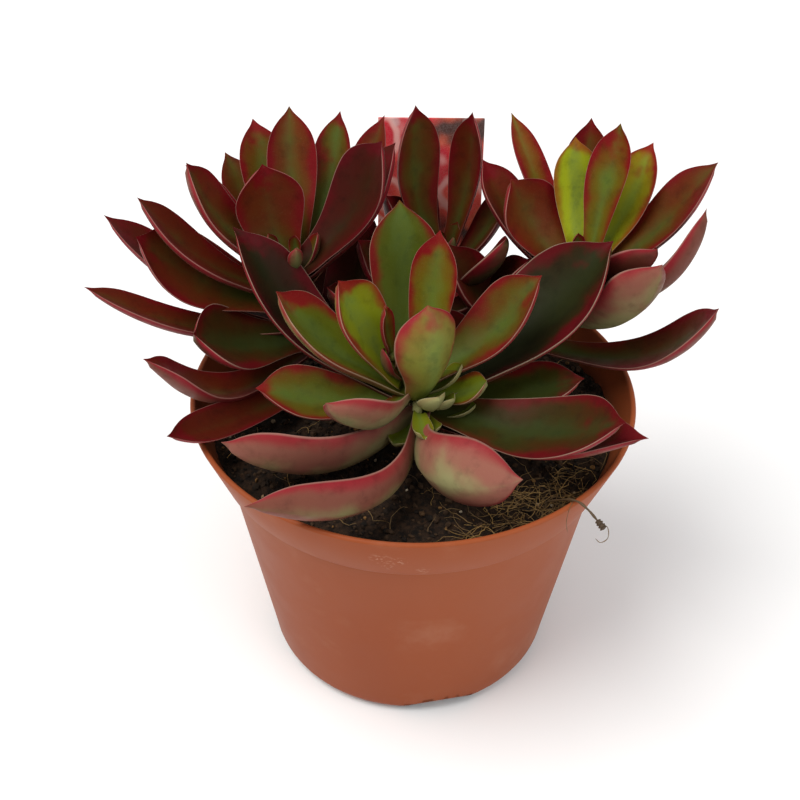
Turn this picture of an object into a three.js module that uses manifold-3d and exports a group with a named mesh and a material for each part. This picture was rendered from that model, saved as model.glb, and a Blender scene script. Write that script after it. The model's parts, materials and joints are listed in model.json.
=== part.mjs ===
// A branching rosette succulent in a round plastic nursery pot, with its soil and its stick-in label.
// Millimetres, +Z up. The origin is the centre of the pot's underside, and the pot stands on Z = 0.
// Four leafy shoots spring from one crown in the soil. The front of the plant faces -Y.

import * as THREE from "three";
import { mergeVertices } from "three/addons/utils/BufferGeometryUtils.js";
import Module from "manifold-3d";

const wasm = await Module();
wasm.setup();

// ---- Driving dimensions ----

// Clearance that pieces resting in or on one another keep.
const GAP = 0.3;

// How far a cut runs past the face it opens.
const CUT_PAST = 2;

// Pot: a thin moulded cone with a flared collar.
const POT_HEIGHT = 88;
const RIM_RADIUS = 60;
const BASE_RADIUS = 41.1;
const BASE_ROUNDING = 5;
const WALL = 1.5;
const FLOOR = 1.8;
const COLLAR_HEIGHT = 17;
const COLLAR_FLARE = 5.6;
const COLLAR_STEP = 2.2;
const POT_SIDES = 48;

// Drainage arches in the pot's lower edge, each with a hole through its roof.
const ARCH_COUNT = 4;
const ARCH_TURN = -78;
const ARCH_WIDTH = 23;
const ARCH_HEIGHT = 5.2;
const ARCH_DEPTH = 11;
const DRAIN_RADIUS = 3;
const DRAIN_FROM_ARCH_END = 1;

// Soil, slightly crowned towards the stems.
const SOIL_BELOW_RIM = 9.5;
const SOIL_CROWN = 2;
const SOIL_RINGS = [0.72, 0.4];

// Label: a thin plastic stake that leans back against the rim.
const LABEL_WIDTH = 30;
const LABEL_THICKNESS = 0.8;
const LABEL_ABOVE_RIM = 52.5;
const LABEL_BELOW_SOIL = 48;
const LABEL_SHOULDER = 26;
const LABEL_POINT_WIDTH = 2;
const LABEL_X = 4.5;
const LABEL_INSIDE_RIM = 11.5;
const LABEL_LEAN = 10;

// Stems, which meet in the crown below the soil.
const STEM_RADIUS = 2.4;
const CROWN_RADIUS = 5.5;
const CROWN_DEPTH = 12;
const BUD_PER_STEM = 1.05;

// Leaves: a cupped, keeled blade that springs from just outside its stem.
const LEAF_CUP = 0.16;
const LEAF_THICKNESS_MIN = 1.3;
const LEAF_THICKNESS_PER_WIDTH = 0.14;
const LEAF_OFF_STEM = 0.6;

// ---- Colours ----

const TERRACOTTA = new THREE.Color(0.61, 0.33, 0.23);
const PEAT = new THREE.Color(0.07, 0.05, 0.04);
const PRINT = new THREE.Color(0.72, 0.35, 0.38);
const STEM_GREEN = new THREE.Color(0.42, 0.45, 0.22);
const LIME = new THREE.Color(0.38, 0.47, 0.12);
const OLIVE = new THREE.Color(0.26, 0.24, 0.1);
const MAROON = new THREE.Color(0.3, 0.08, 0.09);

// ---- Heights that follow from the sizes above ----

const soilTop = POT_HEIGHT - SOIL_BELOW_RIM;
const collarBottom = POT_HEIGHT - COLLAR_HEIGHT;
const wallTopRadius = RIM_RADIUS - COLLAR_FLARE - COLLAR_STEP;
const wallSlope = (wallTopRadius - BASE_RADIUS) / collarBottom;

// ---- Shoots ----
// path: points from the soil to the growing tip, as [x, y, height above the soil].
// leaves: [turn, lift, long, wide, bow, roll, drop]. turn is the compass direction in degrees
// counter-clockwise from +X, lift the rise in degrees, bow the sag as a share of the length,
// roll the twist about the leaf's own line, and drop the distance below the growing tip.

const SHOOTS = {
  front: {
    colour: LIME,
    path: [[5, -13, 0], [2, -15, 13], [-2, -14, 26.5]],
    leaves: [
      [96, 62, 42, 18, 0.06, 10, 2],
      [62, 70, 39, 12, 0.07, 10, 4.5],
      [124, 53, 25, 12, 0.07, 0, 1],
      [150, 80, 17, 5, 0.05, 0, 0],
      [168, 62, 32, 17, 0.06, -20, 2.5],
      [-60, 85, 29, 17, 0.12, 0, 6],
      [168, 37, 41, 17, 0.06, 0, 4],
      [17, 42, 40, 17, 0.1, 10, 4.5],
      [-172, 11, 38, 16, 0.09, -15, 6],
      [-140, 22, 27, 16, 0.16, 40, 7],
      [-160, 4, 50, 18, 0.16, 60, 14],
      [-134, 5, 57, 13, 0.24, 75, 15],
      [-56, 13, 39, 20, 0.26, -85, 16],
      [-30, 18, 55, 19, 0.12, 20, 11],
      [-19, 24, 57, 15, 0.1, 0, 14],
      [24, 34, 61, 26, 0.12, 5, 9],
      [6, 12, 40, 18, 0.06, 0, 12],
      [151, 36, 62, 22, 0.14, 0, 9],
      [-80, 4, 17, 6, 0.1, 0, 10],
      [-62, 40, 12, 7, 0.1, 0, 8],
      [-15, 27, 18, 9, 0.13, 20, 9],
    ],
  },
  left: {
    colour: OLIVE,
    path: [[-9, 1, 0], [-26, 10, 16], [-33, 16, 38.5]],
    leaves: [
      [140, 76, 30, 18, 0.1, -30, 1],
      [112, 46, 46, 14, 0.05, 0, 7],
      [94, 56, 44, 19, 0.04, 10, 4.5],
      [125, 46, 43, 12, 0.08, 0, 6],
      [140, 40, 41, 13, 0.07, 0, 8],
      [166, 54, 40, 17, 0.09, -5, 5.5],
      [182, 40, 48, 12, 0.1, -5, 10],
      [74, 48, 46, 13, 0.08, 0, 4],
      [54, 50, 50, 11, 0.1, 0, 6],
      [35, 42, 42, 16, 0.1, 0, 6],
      [8, 52, 41, 18, 0.12, 30, 3],
      [-172, 34, 45, 20, 0.12, -30, 12],
      [172, 32, 59, 13, 0.08, 0, 17],
      [-174, 19, 58, 12, 0.09, 0, 18],
      [-150, 20, 36, 20, 0.12, -25, 20],
      [-148, 19, 48, 13, 0.26, 0, 25],
      [-146, 8, 54, 15, 0.1, -20, 30],
    ],
  },
  right: {
    colour: OLIVE,
    path: [[10, 2, 0], [36, 13, 16], [46, 20, 36.5]],
    leaves: [
      [20, 44, 46, 15, 0.08, 0, 6],
      [44, 50, 39, 13, 0.08, 0, 4],
      [101, 66, 33, 13, 0.08, 0, 1],
      [60, 68, 37, 11, 0.04, 0, 1],
      [76, 57, 43, 13, 0.09, 5, 6],
      [156, 58, 30, 19, 0.12, -25, 3],
      [142, 50, 40, 15, 0.07, 0, 5],
      [126, 46, 47, 10, 0.04, 0, 6],
      [-20, 44, 22, 17, 0.08, -30, 4],
      [-36, 48, 35, 19, 0.14, -30, 15],
      [-24, 31, 50, 14, 0.2, 10, 26],
      [0, 44, 43, 12, 0.18, -30, 12],
    ],
  },
  back: {
    colour: MAROON,
    path: [[0, 10, 0], [5, 24, 14], [8, 36, 29.5]],
    leaves: [
      [128, 78, 45, 14, 0.08, 0, 2],
      [44, 80, 40, 11, 0.09, 0, 1],
      [92, 58, 34, 9, 0.05, 0, 8],
      [165, 62, 26, 15, 0.05, 10, 6],
      [18, 56, 30, 13, 0.06, -5, 5],
      [-30, 50, 28, 14, 0.07, 0, 9],
    ],
  },
};

// ---- Small helpers ----

/** A closed manifold solid from any closed three.js geometry. */
function solidOf(geometry) {
  const bare = geometry.index ? geometry.toNonIndexed() : geometry.clone();
  for (const name of Object.keys(bare.attributes)) {
    if (name !== "position") bare.deleteAttribute(name);
  }
  const merged = mergeVertices(bare, 1e-4);
  return new wasm.Manifold(new wasm.Mesh({
    numProp: 3,
    vertProperties: merged.attributes.position.array,
    triVerts: new Uint32Array(merged.index.array),
  }));
}

/** A three.js geometry from a manifold solid. */
function geometryOf(solid) {
  const mesh = solid.getMesh();
  const geometry = new THREE.BufferGeometry();
  geometry.setAttribute("position", new THREE.BufferAttribute(mesh.vertProperties, 3));
  geometry.setIndex(new THREE.BufferAttribute(mesh.triVerts, 1));
  geometry.computeVertexNormals();
  return geometry;
}

/** A solid of revolution about Z from a profile of [radius, height] points. */
function turned(profile) {
  const points = profile.map(([r, z]) => new THREE.Vector2(r, z));
  const geometry = new THREE.LatheGeometry(points, POT_SIDES);
  geometry.rotateX(Math.PI / 2);
  return solidOf(geometry);
}

/** Points on an arc from one angle to another, in degrees. */
function arc(centreR, centreZ, radius, from, to, steps) {
  const points = [];
  for (let i = 0; i <= steps; i++) {
    const angle = THREE.MathUtils.degToRad(from + ((to - from) * i) / steps);
    points.push([centreR + radius * Math.cos(angle), centreZ + radius * Math.sin(angle)]);
  }
  return points;
}

function named(name, geometry, color, roughness) {
  const mesh = new THREE.Mesh(geometry, new THREE.MeshStandardMaterial({ color, roughness, metalness: 0 }));
  mesh.name = name;
  return mesh;
}

// ---- Pot ----

/** The wall's outer radius at a height, below the collar. */
function wallRadius(z) {
  return BASE_RADIUS + wallSlope * z;
}

/** The pot's profile from the axis up to the top, moved inwards by inset and with its floor at bottom. */
function cupProfile(inset, bottom, top) {
  const rounding = BASE_ROUNDING - inset / 2;
  const tilt = THREE.MathUtils.radToDeg(Math.atan(wallSlope));
  const cornerR = wallRadius(bottom + rounding) - inset - rounding;
  const rimRadius = RIM_RADIUS - inset;
  const collarRadius = wallTopRadius + COLLAR_STEP - inset;
  const step = Math.min(COLLAR_STEP, inset);
  return [
    [0, bottom],
    ...arc(cornerR, bottom + rounding, rounding, -90, -tilt, 3),
    [wallTopRadius - inset, collarBottom + step],
    [collarRadius, collarBottom + COLLAR_STEP / 2 + step],
    [rimRadius, top],
  ];
}

/** A radial tunnel with an arched roof, open at the pot's lower edge. */
function archTunnel(turn, margin) {
  const half = ARCH_WIDTH / 2 + margin;
  const outline = new THREE.Shape();
  outline.moveTo(-half, -CUT_PAST);
  outline.lineTo(-half, 0);
  outline.absellipse(0, 0, half, ARCH_HEIGHT + margin, Math.PI, 0, true);
  outline.lineTo(half, -CUT_PAST);
  outline.closePath();
  const reach = ARCH_DEPTH + BASE_ROUNDING;
  const depth = reach + margin;
  const geometry = new THREE.ExtrudeGeometry(outline, { depth, bevelEnabled: false, curveSegments: 6 });
  // The outline's plane stands upright across the radius, and the tunnel runs outwards.
  geometry.rotateX(Math.PI / 2);
  geometry.rotateZ(Math.PI);
  geometry.translate(0, BASE_RADIUS + BASE_ROUNDING - reach - margin, 0);
  geometry.rotateZ(THREE.MathUtils.degToRad(turn - 90));
  return solidOf(geometry);
}

function drainHole(turn) {
  const height = ARCH_HEIGHT + WALL + 2 * CUT_PAST;
  const geometry = new THREE.CylinderGeometry(DRAIN_RADIUS, DRAIN_RADIUS, height, 12);
  geometry.rotateX(Math.PI / 2);
  const distance = BASE_RADIUS - ARCH_DEPTH + DRAIN_RADIUS + DRAIN_FROM_ARCH_END;
  const angle = THREE.MathUtils.degToRad(turn);
  geometry.translate(distance * Math.cos(angle), distance * Math.sin(angle), height / 2 - CUT_PAST);
  return solidOf(geometry);
}

const archTurns = Array.from({ length: ARCH_COUNT }, (_, i) => ARCH_TURN + (360 * i) / ARCH_COUNT);

/** The arches' roofs as lumps that stand on the pot's floor. */
function archHoods(margin) {
  return archTurns.map((turn) => archTunnel(turn, WALL + margin)).reduce((all, hood) => all.add(hood));
}

function makePot() {
  const lip = WALL / 2;
  const rimTop = POT_HEIGHT - lip;
  const outside = cupProfile(0, 0, rimTop);
  const inside = cupProfile(WALL, FLOOR, rimTop);
  const lipRound = arc(RIM_RADIUS - lip, rimTop, lip, 0, 180, 4);
  const shell = turned([...outside.slice(0, -1), ...lipRound, ...inside.reverse().slice(1)]);
  const block = turned([...outside, [0, rimTop]]);
  let pot = shell.add(archHoods(0).intersect(block));
  for (const turn of archTurns) {
    pot = pot.subtract(archTunnel(turn, 0)).subtract(drainHole(turn));
  }
  return named("pot", geometryOf(pot), TERRACOTTA, 0.5);
}

// ---- Stems ----

/** The line of a shoot's stem, from the crown to its growing tip. */
function stemCurve(path) {
  const points = path.map(([x, y, z]) => new THREE.Vector3(x, y, soilTop + z));
  return new THREE.CatmullRomCurve3(points, false, "centripetal");
}

const shootCurves = Object.fromEntries(
  Object.entries(SHOOTS).map(([name, shoot]) => [name, stemCurve(shoot.path)]),
);

function crownPoint() {
  const feet = Object.values(shootCurves).map((curve) => curve.getPoint(0));
  const middle = feet.reduce((sum, foot) => sum.add(foot), new THREE.Vector3()).divideScalar(feet.length);
  return middle.setZ(soilTop - CROWN_DEPTH);
}

/** One stem with a round end at its growing tip. */
function stemTube(curve, radius) {
  const crown = crownPoint();
  const line = new THREE.CatmullRomCurve3([crown, ...curve.getPoints(6)], false, "centripetal");
  const section = new THREE.Shape();
  section.absarc(0, 0, radius, 0, 2 * Math.PI, false);
  const tube = new THREE.ExtrudeGeometry(section, { extrudePath: line, steps: 10, curveSegments: 2 });
  const bud = new THREE.SphereGeometry(radius * BUD_PER_STEM, 8, 5);
  const tip = curve.getPoint(1);
  bud.translate(tip.x, tip.y, tip.z);
  return solidOf(tube).add(solidOf(bud));
}

/** All stems and the crown they spring from, thickened by margin. */
function stemSolid(margin) {
  const crown = crownPoint();
  const ball = new THREE.SphereGeometry(CROWN_RADIUS + margin, 12, 8);
  ball.translate(crown.x, crown.y, crown.z);
  let solid = solidOf(ball);
  for (const curve of Object.values(shootCurves)) {
    solid = solid.add(stemTube(curve, STEM_RADIUS + margin));
  }
  return solid;
}

// ---- Label ----

/** The label's blade: a straight card that narrows to a point in the soil. */
function labelSolid(margin) {
  const half = LABEL_WIDTH / 2 + margin;
  const top = POT_HEIGHT + LABEL_ABOVE_RIM;
  const bottom = soilTop - LABEL_BELOW_SOIL - margin;
  const outline = new THREE.Shape();
  const point = LABEL_POINT_WIDTH / 2 + margin;
  outline.moveTo(-point, bottom);
  outline.lineTo(point, bottom);
  outline.lineTo(half, bottom + LABEL_SHOULDER);
  outline.lineTo(half, top);
  outline.lineTo(-half, top);
  outline.lineTo(-half, bottom + LABEL_SHOULDER);
  outline.closePath();
  const depth = LABEL_THICKNESS + 2 * margin;
  const geometry = new THREE.ExtrudeGeometry(outline, { depth, bevelEnabled: false });
  geometry.translate(0, 0, -depth / 2);
  geometry.rotateX(Math.PI / 2);
  // It leans back about the line where it leaves the pot.
  geometry.translate(0, 0, -POT_HEIGHT);
  geometry.rotateX(THREE.MathUtils.degToRad(-LABEL_LEAN));
  geometry.translate(LABEL_X, RIM_RADIUS - WALL - LABEL_INSIDE_RIM, POT_HEIGHT);
  return solidOf(geometry);
}

// ---- Soil ----

function makeSoil() {
  const inset = WALL + GAP;
  const wall = cupProfile(inset, FLOOR + GAP, POT_HEIGHT);
  const below = wall.filter(([, z]) => z < soilTop);
  const lower = below[below.length - 1];
  const upper = wall[below.length];
  const share = (soilTop - lower[1]) / (upper[1] - lower[1]);
  const edge = [lower[0] + share * (upper[0] - lower[0]), soilTop];
  const crown = SOIL_RINGS.map((part) => [edge[0] * part, soilTop + SOIL_CROWN * (1 - part)]);
  let soil = turned([...below, edge, ...crown, [0, soilTop + SOIL_CROWN]]);
  soil = soil.subtract(archHoods(GAP)).subtract(stemSolid(GAP)).subtract(labelSolid(GAP));
  return named("soil", geometryOf(soil), PEAT, 0.95);
}

// ---- Leaves ----

// A leaf's outline and thickness along its length: [place, share of half width, share of thickness].
const LEAF_STATIONS = [
  [0, 0.14, 0.3],
  [0.12, 0.2, 0.4],
  [0.28, 0.46, 0.65],
  [0.45, 0.84, 0.95],
  [0.6, 1, 1],
  [0.74, 0.95, 0.8],
  [0.86, 0.68, 0.6],
  [0.94, 0.36, 0.42],
  [0.985, 0.12, 0.25],
];

// A leaf's section from the right edge over the hollow upper side and back under the keel:
// [share of half width, share of the cup's depth, share of the thickness, side of the skin].
const LEAF_SECTION = [
  [1, 1, 0, 0],
  [0.58, 0.36, 0, 1],
  [0, 0, 0, 1],
  [-0.58, 0.36, 0, 1],
  [-1, 1, 0, 0],
  [-0.62, 0.38, -0.62, -1],
  [0, 0, -1, -1],
  [0.62, 0.38, -0.62, -1],
];

/**
 * A fleshy pointed leaf from its base at the origin to its tip on +X, with its upper side to +Z.
 * margin moves the whole skin outwards.
 */
function leafGeometry([, , long, wide, bow], margin) {
  const thick = LEAF_THICKNESS_MIN + LEAF_THICKNESS_PER_WIDTH * wide;
  const spine = (u) => new THREE.Vector3(long * u, 0, -bow * long * Math.sin(Math.PI * u));
  const points = [new THREE.Vector3(-margin, 0, (-thick * LEAF_STATIONS[0][2]) / 2)];
  for (const [u, halfShare, thickShare] of LEAF_STATIONS) {
    const slope = -bow * Math.PI * Math.cos(Math.PI * u);
    const up = new THREE.Vector3(-slope, 0, 1).normalize();
    const half = (wide / 2) * halfShare;
    for (const [y, cup, depth, side] of LEAF_SECTION) {
      const height = cup * LEAF_CUP * half * 2 + depth * thick * thickShare + side * margin;
      points.push(spine(u).addScaledVector(up, height).setY(y * (half + margin)));
    }
  }
  points.push(spine(1).setX(long + margin));
  const ring = LEAF_SECTION.length;
  const rings = LEAF_STATIONS.length;
  const tip = points.length - 1;
  const faces = [];
  for (let j = 0; j < ring; j++) {
    const next = (j + 1) % ring;
    faces.push(0, 1 + next, 1 + j);
    for (let k = 0; k < rings - 1; k++) {
      const near = 1 + k * ring;
      const far = near + ring;
      faces.push(near + j, near + next, far + next);
      faces.push(near + j, far + next, far + j);
    }
    const last = 1 + (rings - 1) * ring;
    faces.push(last + j, last + next, tip);
  }
  const geometry = new THREE.BufferGeometry().setFromPoints(points);
  geometry.setIndex(faces);
  geometry.computeVertexNormals();
  return geometry;
}

/** The point on a stem at a distance below its growing tip. */
function stemPoint(curve, drop) {
  return curve.getPointAt(1 - Math.max(drop, 0) / curve.getLength());
}

/** Where a leaf stands on its stem, and how it is turned. */
function leafMatrix(curve, [turn, lift, , , , roll, drop]) {
  const angle = THREE.MathUtils.degToRad(turn);
  const outward = STEM_RADIUS + LEAF_OFF_STEM;
  const foot = stemPoint(curve, drop);
  foot.add(new THREE.Vector3(outward * Math.cos(angle), outward * Math.sin(angle), 0));
  const tilt = THREE.MathUtils.degToRad(-lift);
  const rotation = new THREE.Euler(THREE.MathUtils.degToRad(roll), tilt, angle, "ZYX");
  return new THREE.Matrix4().makeRotationFromEuler(rotation).setPosition(foot);
}

// ---- Clearance between leaves ----

// How far a leaf may give way to what already stands there: degrees, degrees, millimetres and
// share of its width. A step's weight tells how much of the leaf's own place it costs.
const GIVE = {
  turn: { steps: [0, 3, -3, 6, -6, 10, -10], weight: 1 / 6 },
  lift: { steps: [0, 4, -4, 8, -8, 12, 18], weight: 1 / 6 },
  drop: { steps: [0, 1.5, -1.5, 3, 5], weight: 1 / 2 },
  width: { steps: [1, 0.85, 0.7], weight: 1 / 0.2 },
};

/** Every way a leaf may give, the slightest first. */
function waysToGive() {
  const ways = [];
  for (const turn of GIVE.turn.steps) {
    for (const lift of GIVE.lift.steps) {
      for (const drop of GIVE.drop.steps) {
        for (const width of GIVE.width.steps) {
          const cost = (turn * GIVE.turn.weight) ** 2 + (lift * GIVE.lift.weight) ** 2
            + (drop * GIVE.drop.weight) ** 2 + ((1 - width) * GIVE.width.weight) ** 2;
          ways.push({ turn, lift, drop, width, cost });
        }
      }
    }
  }
  return ways.sort((a, b) => a.cost - b.cost);
}

const ways = waysToGive();

/** A placed piece with the box that holds it. */
function placedPiece(geometry) {
  geometry.computeBoundingBox();
  return { solid: solidOf(geometry), box: geometry.boundingBox };
}

/** Whether a geometry meets any of the placed pieces. */
function meets(geometry, placed) {
  geometry.computeBoundingBox();
  const near = placed.filter((piece) => piece.box.intersectsBox(geometry.boundingBox));
  if (near.length === 0) return false;
  const solid = solidOf(geometry);
  return near.some((piece) => !solid.intersect(piece.solid).isEmpty());
}

/** The leaf that gives way the least and keeps GAP to everything already placed. */
function settle(curve, leaf, placed) {
  const [turn, lift, long, wide, bow, roll, drop] = leaf;
  for (const way of ways) {
    const row = [turn + way.turn, lift + way.lift, long, wide * way.width, bow, roll, drop + way.drop];
    const grown = leafGeometry(row, GAP).applyMatrix4(leafMatrix(curve, row));
    if (!meets(grown, placed)) return row;
  }
  return leaf;
}

function makeLeaf(name, curve, colour, row) {
  const leaf = named(name, leafGeometry(row, 0), colour, 0.6);
  leaf.applyMatrix4(leafMatrix(curve, row));
  return leaf;
}

/** A shoot's leaves, each added to the placed pieces once it has settled. */
function makeShoot(shootName, placed) {
  const group = new THREE.Group();
  const { colour, leaves } = SHOOTS[shootName];
  const curve = shootCurves[shootName];
  leaves.forEach((wanted, i) => {
    const number = String(i + 1).padStart(2, "0");
    const leaf = makeLeaf(`${shootName}_leaf_${number}`, curve, colour, settle(curve, wanted, placed));
    placed.push(placedPiece(leaf.geometry.clone().applyMatrix4(leaf.matrix)));
    group.add(leaf);
  });
  return group;
}

// ---- The whole plant in its pot ----

const plant = new THREE.Group();
plant.add(makePot());
plant.add(makeSoil());
plant.add(named("label", geometryOf(labelSolid(0)), PRINT, 0.4));
plant.add(named("stems", geometryOf(stemSolid(0)), STEM_GREEN, 0.7));
const placed = plant.children.map((piece) => placedPiece(piece.geometry));
for (const shootName of Object.keys(SHOOTS)) {
  plant.add(makeShoot(shootName, placed));
}

export default plant;
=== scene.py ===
import json
import math

import bmesh
import bpy
import numpy as np
from mathutils import Matrix, Vector


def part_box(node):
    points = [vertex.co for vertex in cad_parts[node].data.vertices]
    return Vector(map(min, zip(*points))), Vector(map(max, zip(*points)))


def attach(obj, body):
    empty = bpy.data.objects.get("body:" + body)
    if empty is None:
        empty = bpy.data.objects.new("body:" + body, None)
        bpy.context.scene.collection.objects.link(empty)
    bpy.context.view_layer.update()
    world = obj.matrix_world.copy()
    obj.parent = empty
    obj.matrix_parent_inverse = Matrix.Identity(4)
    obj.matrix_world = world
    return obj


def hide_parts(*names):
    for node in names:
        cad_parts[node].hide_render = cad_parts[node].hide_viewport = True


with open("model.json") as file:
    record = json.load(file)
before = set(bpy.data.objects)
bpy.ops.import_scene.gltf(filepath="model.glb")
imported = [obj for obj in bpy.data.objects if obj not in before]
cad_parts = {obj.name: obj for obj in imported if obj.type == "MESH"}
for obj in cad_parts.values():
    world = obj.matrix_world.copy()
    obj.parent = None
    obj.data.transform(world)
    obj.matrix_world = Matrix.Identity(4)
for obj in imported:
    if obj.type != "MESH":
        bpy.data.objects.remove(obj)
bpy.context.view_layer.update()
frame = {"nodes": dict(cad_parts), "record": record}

NODES = frame["nodes"]
MM = 0.001

# ---- Sizes, in metres: the pot's and the soil's are the CAD's own ----

POT_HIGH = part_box("pot")[1]
POT_HEIGHT = POT_HIGH.z
RIM_RADIUS = POT_HIGH.x
BASE_RADIUS = 41.1 * MM
BASE_ROUNDING = 5 * MM
WALL = 1.5 * MM
FLOOR = 1.8 * MM
COLLAR_HEIGHT = 17 * MM
COLLAR_FLARE = 5.6 * MM
COLLAR_STEP = 2.2 * MM
COLLAR_EDGE = 0.5 * MM
ARCH_COUNT = 4
ARCH_TURN = -78
ARCH_WIDTH = 23 * MM
ARCH_HEIGHT = 5.2 * MM
ARCH_DEPTH = 11 * MM
DRAIN_RADIUS = 3 * MM
DRAIN_FROM_ARCH_END = 1 * MM
POT_SEGMENTS = 192

# Heights of extra rings on the pot's wall, which keep its long faces flat in the shading.
WALL_RINGS = (8 * MM, 10 * MM, 40 * MM)

# How far a cut runs past the face that it opens.
CUT_PAST = 2 * MM

# Light scuffs on the front of the pot's collar: middle and radius.
SCUFFS = [
    (Vector((-7.5, -56.8, 80)) * MM, 4 * MM),
    (Vector((-3.5, -57.0, 79.5)) * MM, 3 * MM),
    (Vector((-6, -55.5, 76)) * MM, 2 * MM),
    (Vector((2.5, -55.2, 74.5)) * MM, 2.5 * MM),
]

SOIL_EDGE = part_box("soil")[1].z - 2 * MM
SOIL_CROWN = 2 * MM
SOIL_GAP = 0.3 * MM
SOIL_SEGMENTS = 220
SOIL_RINGS = 70

# Loose bits on the soil: how many, and the largest crumb's radius.
CRUMB_COUNT = 2600
CRUMB_MOST = 1.5 * MM
FIBRE_COUNT = 240
FIBRES_BY_RIM = 170

COLLAR_BOTTOM = POT_HEIGHT - COLLAR_HEIGHT
WALL_TOP_RADIUS = RIM_RADIUS - COLLAR_FLARE - COLLAR_STEP
WALL_SLOPE = (WALL_TOP_RADIUS - BASE_RADIUS) / COLLAR_BOTTOM

# Camera: looks down on the front of the plant.
CAMERA_TARGET = Vector((-3.5, 0, 83.1)) * MM
CAMERA_DISTANCE = 330 * MM
CAMERA_ELEVATION = 39
CAMERA_ROLL = 0.6
CAMERA_LENS = 54.2

# Studio: half the floor's width, the world's brightness, and each lamp's place, size, power and tint.
FLOOR_REACH = 3.0
WORLD_STRENGTH = 0.6
LAMPS = {
    "key": ((-0.9, -0.4, 2.0), 1.6, 38.0, (1.0, 0.98, 0.95)),
    "fill": ((1.4, -1.0, 1.2), 1.6, 11.0, (0.95, 0.97, 1.0)),
}

# A leaf's outline along its length: (place, share of half width, share of thickness).
# It starts a little before the CAD leaf's first ring.
LEAF_BASE = -0.04
LEAF_OUTLINE = [
    (LEAF_BASE, 0.34, 0.5), (0.05, 0.46, 0.66), (0.15, 0.52, 0.78), (0.28, 0.66, 0.9), (0.42, 0.84, 0.98),
    (0.55, 0.96, 1.0), (0.66, 1.0, 0.95), (0.77, 0.94, 0.84), (0.86, 0.73, 0.68), (0.92, 0.44, 0.5),
    (0.96, 0.18, 0.36), (1.0, 0.0, 0.2),
]
LEAF_ROWS = 44
LEAF_HALF_COLUMNS = 15
LEAF_WAVES = 9

# How each leaf is coloured: (lime, blush, paleness below), from 0 to 1. lime is 0 on a dark old
# leaf and 1 on a bright young one, and blush is how far the red has spread over it.
LEAF_TONES = {
    "front": [
        (0.45, 0.18, 0.2), (0.64, 0.5, 0.2), (0.7, 0.3, 0.2), (0.6, 0.6, 0.2), (0.74, 0.22, 0.2),
        (0.68, 0.42, 0.0), (0.58, 0.25, 0.4), (0.46, 0.5, 0.4), (0.5, 0.42, 0.5), (0.5, 0.6, 0.8),
        (0.35, 0.75, 0.8), (0.3, 0.75, 0.6), (0.5, 0.65, 1.0), (0.17, 0.45, 0.5), (0.25, 0.9, 0.6),
        (0.1, 0.25, 0.3), (0.2, 0.25, 0.3), (0.05, 0.45, 0.3), (0.66, 0.03, 0.7), (0.66, 0.03, 0.7),
        (0.66, 0.1, 0.7),
    ],
    "left": [
        (0.36, 0.75, 0.3), (0.55, 0.5, 0.7), (0.45, 0.65, 0.3), (0.4, 0.65, 0.4), (0.3, 0.8, 0.4),
        (0.3, 0.7, 0.6), (0.25, 0.85, 0.5), (0.45, 0.4, 0.3), (0.4, 0.8, 0.3), (0.16, 0.95, 0.3),
        (0.08, 0.85, 0.2), (0.26, 0.75, 0.6), (0.2, 0.95, 0.5), (0.26, 0.85, 0.5), (0.16, 0.5, 0.3),
        (0.3, 0.9, 0.5), (0.2, 0.9, 0.5),
    ],
    "right": [
        (0.38, 0.7, 0.5), (0.82, 0.38, 0.3), (0.96, 0.1, 0.3), (0.62, 0.55, 0.3), (0.4, 0.7, 0.3),
        (0.42, 0.8, 0.4), (0.4, 0.85, 0.3), (0.66, 0.65, 0.3), (0.25, 0.95, 0.3), (0.4, 0.62, 0.7),
        (0.2, 0.7, 0.7), (0.3, 0.85, 0.5),
    ],
    "back": [
        (0.36, 0.6, 0.3), (0.3, 0.75, 0.4), (0.12, 0.9, 0.3), (0.14, 0.8, 0.3), (0.2, 0.6, 0.3),
        (0.2, 0.4, 0.3),
    ],
}

# Young leaves at each growing tip: their colour, how many, and the length and width of the longest.
YOUNG_TONES = (0.4, 0.5, 0.4)
YOUNG_COUNT = 6
YOUNG_LONG = 13 * MM
YOUNG_WIDE = 5.5 * MM
YOUNG_FROM_TIP = 1.6 * MM
GOLDEN_ANGLE = 137.5
SIDE_TONES = (0.62, 0.02, 0.7)

# Where each shoot grows on, and the direction of its outermost young leaf.
GROWING_TIPS = {
    "front": (Vector((-2, -14, 105.5)) * MM, 60),
    "left": (Vector((-33, 16, 117.5)) * MM, 20),
    "right": (Vector((46, 20, 115.5)) * MM, 200),
    "back": (Vector((8, 36, 108.5)) * MM, 270),
}

# Old shaded leaves low on the stems: foot, direction, rise, length and width.
INNER_LEAVES = [
    (Vector((-25, 11, 97)) * MM, 58, 40, 35 * MM, 16 * MM),
    (Vector((-23, 9, 92)) * MM, 20, 28, 30 * MM, 15 * MM),
    (Vector((4, 21, 92)) * MM, 195, 34, 34 * MM, 16 * MM),
    (Vector((5, 22, 96)) * MM, 165, 46, 30 * MM, 14 * MM),
    (Vector((7, 24, 95)) * MM, -8, 42, 32 * MM, 15 * MM),
    (Vector((34, 13, 94)) * MM, 150, 38, 36 * MM, 16 * MM),
    (Vector((30, 11, 91)) * MM, 185, 30, 28 * MM, 14 * MM),
    (Vector((38, 16, 97)) * MM, 80, 34, 34 * MM, 15 * MM),
    (Vector((-28, 13, 98)) * MM, 100, 30, 32 * MM, 15 * MM),
]

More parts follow.
